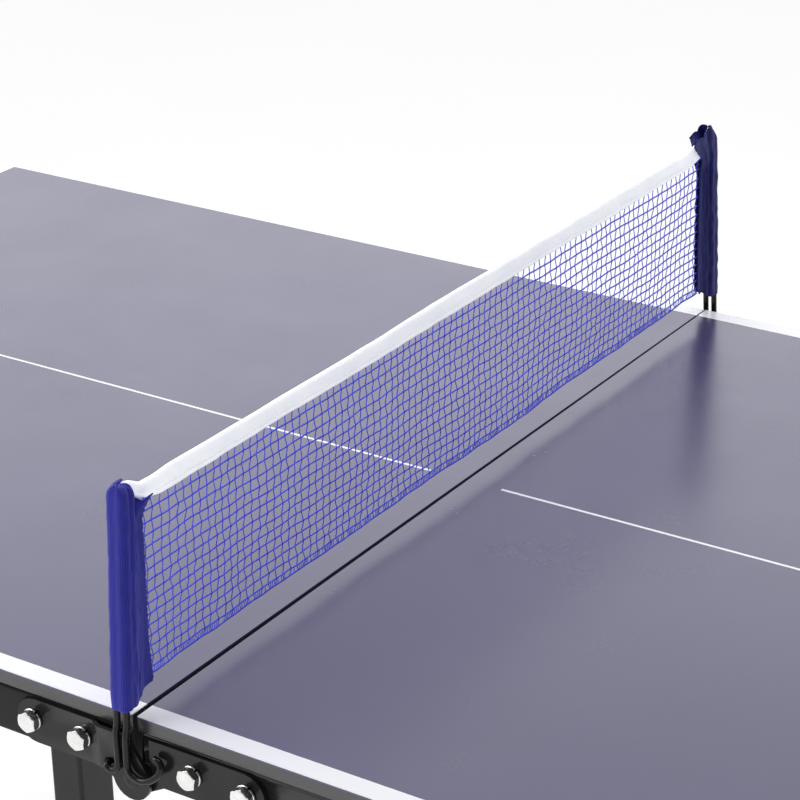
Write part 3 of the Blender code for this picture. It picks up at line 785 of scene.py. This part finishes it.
def make_hardware():
    """Hinge plates, brackets, pins, nuts and screws, all with broken edges."""
    for side, sign in SIDES:
        for half in ("left", "right"):
            refine(f"{half}_{side}_hinge_plate", "black_steel", half + "_half", 0.0006, 3)
            refine(f"{half}_{side}_end_bracket", "black_steel", half + "_half", 0.0005)
            refine(f"{half}_{side}_end_leg_pin", "zinc", half + "_half", 0.0004)
        refine(f"{side}_hinge_rivet", "black_steel", "left_half", 0.0004, 3, 60)
        refine(f"centre_{side}_leg_nut", "zinc", "left_half", 0.0005)
        refine(f"centre_{side}_leg_spacer", "black_plastic", "left_half", 0.0005)
        refine(f"centre_{side}_bar_screw", "zinc", "centre_legs", 0.0003)
        fine_bolt(f"left_{side}_frame_bolt", "left_half", 0.10, 52)
        fine_bolt(f"centre_{side}_leg_bolt", "left_half", 0.02, 58)
        fine_bolt(f"right_{side}_inner_bolt", "right_half", 0.16, 56)
        fine_bolt(f"right_{side}_outer_bolt", "right_half", 0.06, 64)
    for half, sign in (("left", -1), ("right", 1)):
        rail_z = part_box(f"{half}_near_rail")[0].z
        for side, side_sign in SIDES:
            y = side_sign * abs(centre_of(f"{half}_{side}_rail").y)
            for k, share in enumerate((0.17, 0.50, 0.80)):
                x = sign * HALF_LENGTH * share
                pan_screw(f"{half}_{side}_rail_screw_{k}", (x, y, rail_z), half + "_half")
        for place_name in ("inner", "end"):
            x = centre_of(f"{half}_{place_name}_rail").x
            for k, share in enumerate((-0.55, 0.0, 0.55)):
                place_at = (x, share * HALF_WIDTH, rail_z)
                pan_screw(f"{half}_{place_name}_rail_screw_{k}", place_at, half + "_half")


# ---------------------------------------------------------------- boards

GAP_NEAR = 0.0038
GAP_FAR = 0.0012
ARRIS = 0.0003
BROAD_FACE = 0.001  # square metres; larger faces of a board are flat


def make_boards():
    """Boards with eased edges. The joint between them closes up a little towards the far side."""
    for half, sign in (("left", -1), ("right", 1)):
        node = half + "_board"
        low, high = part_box(node)
        outer = HALF_LENGTH
        corners = (
            (sign * GAP_NEAR / 2, low.y, 0.0008),
            (sign * outer, low.y, 0.0016),
            (sign * outer, high.y, 0.0016),
            (sign * GAP_FAR / 2, high.y, 0.0008),
        )
        rings = []
        for inset, z in (
            (ARRIS, low.z),
            (0.0, low.z + ARRIS),
            (0.0, high.z - ARRIS),
            (0.3 * ARRIS, high.z - 0.3 * ARRIS),
            (ARRIS, high.z),
        ):
            outline = []
            for x, y, radius in corners:
                inward = (-math.copysign(1, x - sign * outer / 2), -math.copysign(1, y))
                centre = (x + inward[0] * radius, y + inward[1] * radius)
                start = math.degrees(math.atan2(-inward[1], -inward[0])) - 45
                turn = 90 if sign > 0 else -90
                if turn < 0:
                    start += 90
                outline += arc(centre, radius - inset, start, start + turn, 5)
            rings.append([(x, y, z) for x, y in outline])
        mesh = bmesh.new()
        add_rings(mesh, rings)
        panel = piece(node + "_panel", mesh, "board", half + "_half", (node,), 25)
        for face in panel.data.polygons:
            face.use_smooth = face.area < BROAD_FACE


# ---------------------------------------------------------------- net posts

WIRE_RADIUS = 0.0023
WIRE_SPAN = 0.0037
WIRE_TOP = 0.1467
WIRE_OUT = {"near": 0.0125, "far": 0.0088}
WIRE_LEAN = {"near": 0.065, "far": 0.088}
WIRE_FOOT_SPAN = 0.0034
FOOT_OUT = 0.0099
FOOT_TOP = -0.0110
HOOK = (-0.0133, -0.0346)


def smooth_path(points, step):
    """Points spaced along a curve that passes through the given ones."""
    given = [Vector(point) for point in points]
    given = [2 * given[0] - given[1]] + given + [2 * given[-1] - given[-2]]
    path = [given[1]]
    for i in range(1, len(given) - 2):
        before, start, end, after = given[i - 1 : i + 3]
        count = max(1, round((end - start).length / step))
        for k in range(1, count + 1):
            t = k / count
            turn = (end - before) / 2 * (t**3 - 2 * t**2 + t) + (after - start) / 2 * (t**3 - t**2)
            path.append(start * (2 * t**3 - 3 * t**2 + 1) + end * (3 * t**2 - 2 * t**3) + turn)
    return path


def wire_out(side, height):
    """How far outside the board's edge a post's wires stand at a height over the surface."""
    return WIRE_OUT[side] - WIRE_LEAN[side] * height


def make_post(side, sign):
    """A net post of one bent wire: hooked foot, up, over, down and the looped foot."""
    foot = (
        (HOOK[0], 0.0045, HOOK[1]),
        (HOOK[0], 0.0080, HOOK[1]),
        (HOOK[0] + 0.0006, 0.0103, HOOK[1] - 0.0008),
        (-0.0112, 0.0106, -0.0362),
        (-0.0080, 0.0104, -0.0368),
        (-0.0050, 0.0101, -0.0348),
        (-0.0037, 0.0100, -0.0310),
        (-WIRE_FOOT_SPAN, 0.0099, -0.0250),
        (-WIRE_SPAN, FOOT_OUT, FOOT_TOP),
    )
    loop = (
        (WIRE_SPAN, FOOT_OUT, FOOT_TOP),
        (WIRE_FOOT_SPAN, 0.0099, -0.0240),
        (0.0038, 0.0102, -0.0305),
        (0.0058, 0.0105, -0.0345),
        (0.0092, 0.0106, -0.0366),
        (0.0130, 0.0106, -0.0374),
        (0.0175, 0.0104, -0.0366),
        (0.0228, 0.0096, -0.0336),
        (0.0268, 0.0085, -0.0292),
        (0.0278, 0.0076, -0.0250),
        (0.0258, 0.0068, -0.0222),
        (0.0222, 0.0062, -0.0215),
    )
    heights = (0.0, 0.015, 0.05, 0.10, 0.14)
    top = arc((0.0, WIRE_TOP), WIRE_SPAN, 180, 0, 12)
    wires = [(-WIRE_SPAN, wire_out(side, z), z) for z in heights]
    wires += [(x, wire_out(side, z), z) for x, z in top]
    wires += [(WIRE_SPAN, wire_out(side, z), z) for z in reversed(heights)]
    wires = [turned(Vector((x, sign * (HALF_WIDTH + out), HEIGHT + z))) for x, out, z in wires]
    middle = (wires[0].x + wires[-1].x) / 2
    feet = []
    for points in (foot, loop):
        bend = [(middle + x, sign * (HALF_WIDTH + out), HEIGHT + z) for x, out, z in points]
        feet.append([Vector(point) for point in bend])
    world = feet[0] + wires + feet[1]
    mesh = bmesh.new()
    add_tube(mesh, smooth_path(world, 0.0015), WIRE_RADIUS, 16, True)
    piece(f"{side}_post_wire", mesh, "wire", "left_half", (f"{side}_net_post",), 60)


def add_tube(mesh, path, radius, sides, domed=False):
    """A round tube along a path, with its section carried along without twisting."""
    ahead = [(b - a).normalized() for a, b in zip(path, path[1:])]
    tangents = [ahead[0]] + [(a + b).normalized() for a, b in zip(ahead, ahead[1:])] + [ahead[-1]]
    normal = tangents[0].orthogonal().normalized()
    rings = []
    stations = [(point, radius) for point in path]
    if domed:
        first, last = path[0], path[-1]
        for lift, share in ((0.25, 0.93), (0.5, 0.72), (0.62, 0.4)):
            stations.append((last + tangents[-1] * radius * lift, radius * share))
            stations.insert(0, (first - tangents[0] * radius * lift, radius * share))
        tangents = [tangents[0]] * 3 + tangents + [tangents[-1]] * 3
    for (point, size), tangent in zip(stations, tangents):
        normal = (normal - tangent * normal.dot(tangent)).normalized()
        other = tangent.cross(normal)
        rings.append(
            [
                point
                + size * math.cos(2 * math.pi * k / sides) * normal
                + size * math.sin(2 * math.pi * k / sides) * other
                for k in range(sides)
            ]
        )
    add_rings(mesh, rings)


# ---------------------------------------------------------------- net

NET_ROWS = 16
NET_TOP = 0.1378
ROW_FIRST = 0.0080
ROW_LAST = 0.0070
SELVAGE = 0.0046
COLUMN = 0.0076
STRING = 0.00064
UPRIGHT = 0.00036
NET_NEAR = -0.3690
NET_FAR = 0.3640


def wave(y, z, seed, scale):
    """A smooth wander between about -1 and 1, the same on every run."""
    return noise.noise(Vector((y * scale, z * scale, seed))) * 1.6


def net_point(y, z):
    """Where the slack mesh puts the point that a flat one would have at y and z."""
    sway = 0.0016 * wave(y, z, 3.1, 9.0) + 0.0007 * wave(y, z, 8.4, 32.0)
    lift = 0.0009 * wave(y, z, 5.2, 12.0) + 0.0004 * wave(y, z, 1.7, 60.0)
    slide = 0.0022 * wave(y, z, 7.7, 14.0) + 0.0008 * wave(y, z, 2.9, 70.0)
    hold = share_past(NET_TOP, z, 0.02) * 0.8 + 0.2
    near_end = share_past(abs(y), 0.34, 0.02)
    hold *= 1.0 - 0.7 * near_end
    return Vector((sway * hold, y + slide * hold, HEIGHT + z + lift * hold))


def make_net():
    """An open mesh of twisted cord: level strings, thinner zig-zag uprights, a bound lower edge."""
    rows = [NET_TOP]
    for k in range(NET_ROWS - 1):
        rows.append(rows[-1] - (ROW_FIRST + (ROW_LAST - ROW_FIRST) * k / (NET_ROWS - 2)))
    rows.append(rows[-1] - SELVAGE)
    columns = round((NET_FAR - NET_NEAR) / COLUMN)
    ys = [NET_NEAR + (NET_FAR - NET_NEAR) * j / columns for j in range(columns + 1)]
    chance = random.Random(11)
    knots = {}
    for j, y in enumerate(ys):
        for k, z in enumerate(rows):
            jitter_y = 0.0005 * chance.uniform(-1, 1) + (0.00025 if (j + k) % 2 else -0.00025)
            jitter_z = 0.00025 * chance.uniform(-1, 1)
            if k == 0:
                jitter_z *= 0.3
            knots[j, k] = net_point(y + jitter_y, z + jitter_z)
    mesh = bmesh.new()
    for k in range(len(rows)):
        path = smooth_path([knots[j, k] for j in range(columns + 1)], 0.0042)
        size = STRING * (1.15 if k in (0, len(rows) - 1) else 1.0)
        add_tube(mesh, path, size, 6)
    for j in range(columns + 1):
        path = []
        for k in range(len(rows)):
            here = knots[j, k]
            side = STRING * 0.7 * (1 if (j + k) % 2 else -1)
            path.append(here + Vector((side, 0, 0)))
            if k < len(rows) - 1:
                after = knots[j, k + 1]
                bow = 0.0004 * chance.uniform(-1, 1)
                path.append((here + after) / 2 + Vector((0, bow, 0)))
        if j not in (0, columns):
            path.insert(0, path[0] + Vector((0, 0, 0.0035)))
        add_tube(mesh, path, UPRIGHT, 5)
    last = len(rows) - 1
    for j in range(columns):
        for m in range(1, 4):
            share = m / 4
            upper = knots[j, last - 1].lerp(knots[j + 1, last - 1], share)
            lower = knots[j, last].lerp(knots[j + 1, last], share + 0.06 * chance.uniform(-1, 1))
            if chance.random() < 0.8:
                add_tube(mesh, [upper, (upper + lower) / 2, lower], UPRIGHT * 0.75, 4)
    item = piece("net_strings", mesh, "blue_cord", "net", ("net_mesh",), 70)
    return item


# ---------------------------------------------------------------- tape

TAPE_BOTTOM = 0.1368
TAPE_TOP = 0.1510
TAPE_HALF = 0.0019
TAPE_SIDE = (  # half widths and heights, as shares of the tape's own
    (0.92, 0.0),
    (1.06, 0.05),
    (1.06, 0.16),
    (0.80, 0.25),
    (0.98, 0.34),
    (1.02, 0.55),
    (1.0, 0.74),
)
TAPE_NEAR_LOW = (
    (0.000, 0.1530),
    (0.003, 0.1525),
    (0.008, 0.1466),
    (0.014, 0.1425),
    (0.022, 0.1392),
    (0.034, TAPE_BOTTOM),
)
TAPE_NEAR_HIGH = (
    (0.000, 0.1560),
    (0.004, 0.1566),
    (0.009, 0.1552),
    (0.018, 0.1500),
    (0.030, 0.1498),
    (0.045, TAPE_TOP),
)
TAPE_FAR_LOW = ((0.014, 0.1420), (0.028, 0.1400), (0.045, TAPE_BOTTOM))
TAPE_FAR_HIGH = ((0.014, 0.1545), (0.028, 0.1530), (0.045, TAPE_TOP))
TAPE_END = 0.05


def tape_line(y):
    """The tape's lower and upper edge over the surface at a place across the table."""
    inward = y + HALF_WIDTH
    far_inward = HALF_WIDTH - y
    low = TAPE_BOTTOM
    high = TAPE_TOP
    if inward < TAPE_END:
        low = interpolate(inward, TAPE_NEAR_LOW)
        high = interpolate(inward, TAPE_NEAR_HIGH)
    if far_inward < TAPE_END:
        low = interpolate(far_inward, TAPE_FAR_LOW)
        high = interpolate(far_inward, TAPE_FAR_HIGH)
    low += 0.0005 * wave(y, 0.0, 4.4, 11.0) + 0.00035 * wave(y, 0.0, 6.6, 60.0)
    high += 0.0006 * wave(y, 0.5, 9.4, 9.0) + 0.00025 * wave(y, 0.5, 3.6, 45.0)
    return low, high


def make_tape():
    """A white ribbon folded over the top string, its two hems sewn together."""
    start = -HALF_WIDTH + 0.0006
    end = HALF_WIDTH - 0.014
    steps = 320
    half = list(TAPE_SIDE)
    for angle in (10, 30, 50, 70):
        turn = math.radians(angle)
        half.append((math.cos(turn), 0.78 + 0.22 * math.sin(turn)))
    section = half + [(0.0, 1.0)] + [(-x, h) for x, h in reversed(half)]
    mesh = bmesh.new()
    uv = mesh.loops.layers.uv.new("cloth")
    rows = []
    for i in range(steps + 1):
        y = start + (end - start) * i / steps
        low, high = tape_line(y)
        base = net_point(y, TAPE_TOP - 0.006)
        sway = base.x * 0.7
        pucker = 0.00022 * wave(y, 0.0, 2.2, 160.0)
        near = max(0.0, 1 - (y - start) / 0.02)
        tilt = 0.0010 * wave(y, 1.0, 5.5, 8.0) * (1 - near)
        row = []
        for x, h in section:
            puff = 1.0 + (0.10 * wave(y, h * 0.05, 7.1, 40.0) if h > 0.3 else 0.0)
            width = TAPE_HALF * (1 - 0.25 * near)
            side = x * width * puff + sway + tilt * (h - 0.3)
            side += math.copysign(pucker, x) if h < 0.3 else 0.0
            row.append(mesh.verts.new((side, y, HEIGHT + low + (high - low) * h)))
        rows.append(row)
    lengths = [0.0]
    for (x0, h0), (x1, h1) in zip(section, section[1:]):
        step = math.hypot((x1 - x0) * TAPE_HALF, (h1 - h0) * (TAPE_TOP - TAPE_BOTTOM))
        lengths.append(lengths[-1] + step)
    for i in range(steps):
        for k in range(len(section) - 1):
            face = mesh.faces.new((rows[i][k], rows[i + 1][k], rows[i + 1][k + 1], rows[i][k + 1]))
            corners = ((i, k), (i + 1, k), (i + 1, k + 1), (i, k + 1))
            for loop, (a, b) in zip(face.loops, corners):
                loop[uv].uv = ((end - start) * a / steps, lengths[b])
    item = piece("net_top_tape", mesh, "white_tape", "net", ("net_tape",), 50)
    modifier = item.modifiers.new("cloth", "SOLIDIFY")
    modifier.thickness = 0.0006
    modifier.offset = -1.0
    width = lengths[-1]
    make_tape_stitches(start + 0.03, end - 0.02)
    return item


def make_tape_stitches(start, end):
    """Short white stitches along both hems."""
    pitch = 0.0030
    count = int((end - start) / pitch)
    mesh = bmesh.new()
    for i in range(count):
        y = start + i * pitch
        low, high = tape_line(y)
        sway = net_point(y, TAPE_TOP - 0.006).x * 0.7
        z = HEIGHT + low + 0.235 * (high - low)
        for sign in (-1, 1):
            x = sway + sign * (TAPE_HALF * 0.86 + 0.0001)
            path = [
                Vector((x - sign * 0.0003, y, z)),
                Vector((x + sign * 0.00012, y + 0.0005, z)),
                Vector((x + sign * 0.00012, y + 0.0016, z)),
                Vector((x - sign * 0.0003, y + 0.0021, z)),
            ]
            add_tube(mesh, path, 0.00014, 4)
    return piece("tape_stitches", mesh, "white_thread", "net", (), 70)


# ---------------------------------------------------------------- sleeves

# Half of a sleeve's section, from its outer face round the wires to the flap: sideways, inward
SLEEVE_HALF = (
    (0.0000, -0.0031),
    (0.0037, -0.0034),
    (0.0058, -0.0022),
    (0.0067, 0.0004),
    (0.0067, 0.0040),
    (0.0061, 0.0080),
    (0.0047, 0.0120),
    (0.0031, 0.0158),
    (0.0019, 0.0196),
    (0.0014, 0.0232),
    (0.0013, 0.0285),
)
# Over the surface: where each sleeve's flap ends, and its hem and its walls' tops going inward
SLEEVES = {
    "near": {
        "look": "blue_fabric",
        "flap": (
            (0.0140, 0.0182),
            (0.0200, 0.0176),
            (0.0440, 0.0160),
            (0.0980, 0.0170),
            (0.1250, 0.0166),
            (0.1380, 0.0174),
            (0.1460, 0.0200),
        ),
        "bottom": (
            (0.000, 0.0108),
            (0.012, 0.0110),
            (0.017, 0.0126),
            (0.021, 0.0152),
            (0.032, 0.0162),
        ),
        "right": (
            (0.002, 0.1490),
            (0.008, 0.1490),
            (0.012, 0.1480),
            (0.017, 0.1440),
            (0.022, 0.1415),
            (0.026, 0.1440),
        ),
        "left": ((0.002, 0.1490), (0.010, 0.1505), (0.020, 0.1500), (0.026, 0.1480)),
        "flare": 0.0042,
        "reach": {1: 0.0, -1: 0.0},
        "closed": 0.0060,
        "seed": 2.5,
    },
    "far": {
        # painted shade: the far sleeve wears a darker copy of the blue knit
        "look": "navy_fabric",
        "flap": (
            (0.0220, 0.0190),
            (0.0500, 0.0208),
            (0.0860, 0.0216),
            (0.1300, 0.0222),
            (0.1413, 0.0255),
            (0.1460, 0.0305),
            (0.1530, 0.0370),
            (0.1580, 0.0396),
        ),
        "bottom": (
            (0.000, 0.0130),
            (0.014, 0.0135),
            (0.020, 0.0170),
            (0.026, 0.0215),
            (0.032, 0.0222),
        ),
        "right": (
            (0.002, 0.1500),
            (0.008, 0.1560),
            (0.013, 0.1625),
            (0.019, 0.1630),
            (0.0225, 0.1590),
            (0.027, 0.1600),
            (0.040, 0.1575),
        ),
        "left": ((0.002, 0.1500), (0.010, 0.1580), (0.020, 0.1590), (0.040, 0.1560)),
        "flare": 0.0018,
        "reach": {1: 0.0024, -1: -0.0110},
        "closed": 0.0040,
        "seed": 6.2,
    },
}
SLEEVE_ROWS = 96
ROOF_ROWS = 9
CLOTH = 0.0008
SLEEVE_TALL = 0.142


def sleeve_columns():
    """Evenly spaced places round half a sleeve: outward x, inward distance, arc length."""
    path = smooth_path([(x, d, 0) for x, d in SLEEVE_HALF], 0.0011)
    lengths = [0.0]
    for a, b in zip(path, path[1:]):
        lengths.append(lengths[-1] + (b - a).length)
    return [(p.x, p.y, s) for p, s in zip(path, lengths)]


def sleeve_wall(side, reach, column, share):
    """A place on a sleeve's wall: sideways, inward from the wires, up, and the wires' own place."""
    spec = SLEEVES[side]
    seed = spec["seed"]
    hand, x, d0, s0 = column
    bottom = interpolate(d0 + 0.004, spec["bottom"])
    top = interpolate(d0 + 0.004, spec["right" if hand > 0 else "left"])
    z = bottom + (top - bottom) * share
    out = wire_out(side, z)
    end = out + interpolate(z, spec["flap"]) + spec["reach"][hand] * share_past(z, 0.138, 0.016)
    d = d0
    if d0 > 0.006:
        d = 0.006 + (d0 - 0.006) * (end - 0.006) / (reach - 0.006)
    scallop = 0.00045 * math.sin(z * 1600 + seed) + 0.0003 * wave(z, 0.0, seed, 260.0)
    d += scallop * max(0.0, (d0 - 0.024) / (reach - 0.024))
    flap_share = share_past(d0, 0.016, 0.008)
    crease = 0.0009 * math.exp(-(((d0 - 0.0036) / 0.0011) ** 2))
    crease += 0.0011 * math.exp(-(((d0 - 0.0118) / 0.0016) ** 2))
    crease -= 0.0005 * math.exp(-(((d0 - 0.0078) / 0.0016) ** 2))
    wander = 0.6 + 0.5 * wave(z, 0.3, seed + hand, 26.0)
    x -= crease * wander * (1 - flap_share)
    folds = 0.00040 * wave(s0 * hand, z * 0.25, seed, 420.0)
    folds += 0.00030 * wave(s0 * hand, z, seed + 4, 120.0)
    slack = min(1.0, s0 / 0.004)
    x += folds * slack * (1 - 0.6 * flap_share)
    tape_room = share_past(z, 0.128, 0.010) * share_past(d0, 0.010, 0.008)
    x += tape_room * 0.0028
    lip = share_past(share, 0.90, 0.10)
    x += spec["flare"] * lip**2 * share_past(d0, 0.012, 0.010)
    lower_lip = max(0.0, 1 - share / 0.05)
    x -= 0.0003 * lower_lip
    d += 0.0003 * lower_lip * (1 if d0 < 0 else 0)
    return x, d, z, out


def sleeve_roof(side, column, turn, x, d, z):
    """Where a place on the wall's top edge goes as the roof closes over the wires."""
    hand, _, d0, s0 = column
    spec = SLEEVES[side]
    close = share_past(spec["closed"] + 0.006, d0, 0.006)
    angle = math.pi / 2 * turn * close
    x = max(x, 0.0004) * math.cos(angle) + 0.00035 * turn * close
    z += 0.0070 * math.sin(angle)
    z += 0.0006 * wave(s0 * hand, turn, spec["seed"] + 9, 300.0) * turn
    d += 0.0026 * (1 - math.cos(angle)) * (1 if d0 < 0.002 else 0)
    if close <= 0.0:
        z += 0.0004 * turn
        x += 0.0003 * turn
    return x, d, z


def make_sleeve(side, sign):
    """A knit sleeve over a post: two walls round the wires that close to a flap on the mesh."""
    half = sleeve_columns()
    reach = half[-1][1]
    columns = [(-1, *c) for c in reversed(half[1:])] + [(1, *c) for c in half]
    mesh = bmesh.new()
    uv = mesh.loops.layers.uv.new("cloth")
    rows = []
    for r in range(SLEEVE_ROWS + ROOF_ROWS + 1):
        row = []
        for column in columns:
            share = min(r, SLEEVE_ROWS) / SLEEVE_ROWS
            x, d, z, out = sleeve_wall(side, reach, column, share)
            if r > SLEEVE_ROWS:
                x, d, z = sleeve_roof(side, column, (r - SLEEVE_ROWS) / ROOF_ROWS, x, d, z)
            y = sign * (HALF_WIDTH + out - d)
            row.append(mesh.verts.new((column[0] * x, y, HEIGHT + z)))
        rows.append(row)
    for r in range(len(rows) - 1):
        for c in range(len(columns) - 1):
            corners = ((r, c), (r, c + 1), (r + 1, c + 1), (r + 1, c))
            face = mesh.faces.new([rows[a][b] for a, b in corners])
            for loop, (a, b) in zip(face.loops, corners):
                hand, _, _, s0 = columns[b]
                loop[uv].uv = (hand * s0, a / SLEEVE_ROWS * SLEEVE_TALL)
    item = piece(f"{side}_sleeve", mesh, SLEEVES[side]["look"], "net", (f"{side}_net_sleeve",), 75)
    modifier = item.modifiers.new("cloth", "SOLIDIFY")
    modifier.thickness = CLOTH
    modifier.offset = 0.0


def paint_nodes():
    """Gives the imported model's own nodes the same materials as the fine pieces."""
    for name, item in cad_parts.items():
        if name.endswith("_board"):
            look = "board"
        elif name.endswith(("_bracket", "_rivet", "_plate", "_post", "_rail", "_leg", "_bar")):
            look = "black_steel"
        elif name.endswith(("_spacer", "_cap")):
            look = "black_plastic"
        elif name.endswith("_sleeve"):
            look = "blue_fabric"
        elif name == "net_mesh":
            look = "blue_cord"
        elif name == "net_tape":
            look = "white_tape"
        else:
            look = "zinc"
        for k in range(len(item.material_slots)):
            item.material_slots[k].material = MATERIALS[look]


def make_floor():
    mesh = bmesh.new()
    bmesh.ops.create_grid(mesh, x_segments=8, y_segments=8, size=14)
    data = bpy.data.meshes.new("floor")
    mesh.to_mesh(data)
    mesh.free()
    data.materials.append(floor_white())
    floor = bpy.data.objects.new("floor", data)
    floor.location = (0, 0, -0.0005)
    bpy.context.scene.collection.objects.link(floor)


make_camera()
make_light()
paint_nodes()
make_floor()
make_frames()
make_boards()
make_hardware()
for side_name, side_sign in SIDES:
    make_post(side_name, side_sign)
make_net()
make_tape()
for side_name, side_sign in SIDES:
    make_sleeve(side_name, side_sign)

bpy.context.scene.view_settings.view_transform = "Standard"
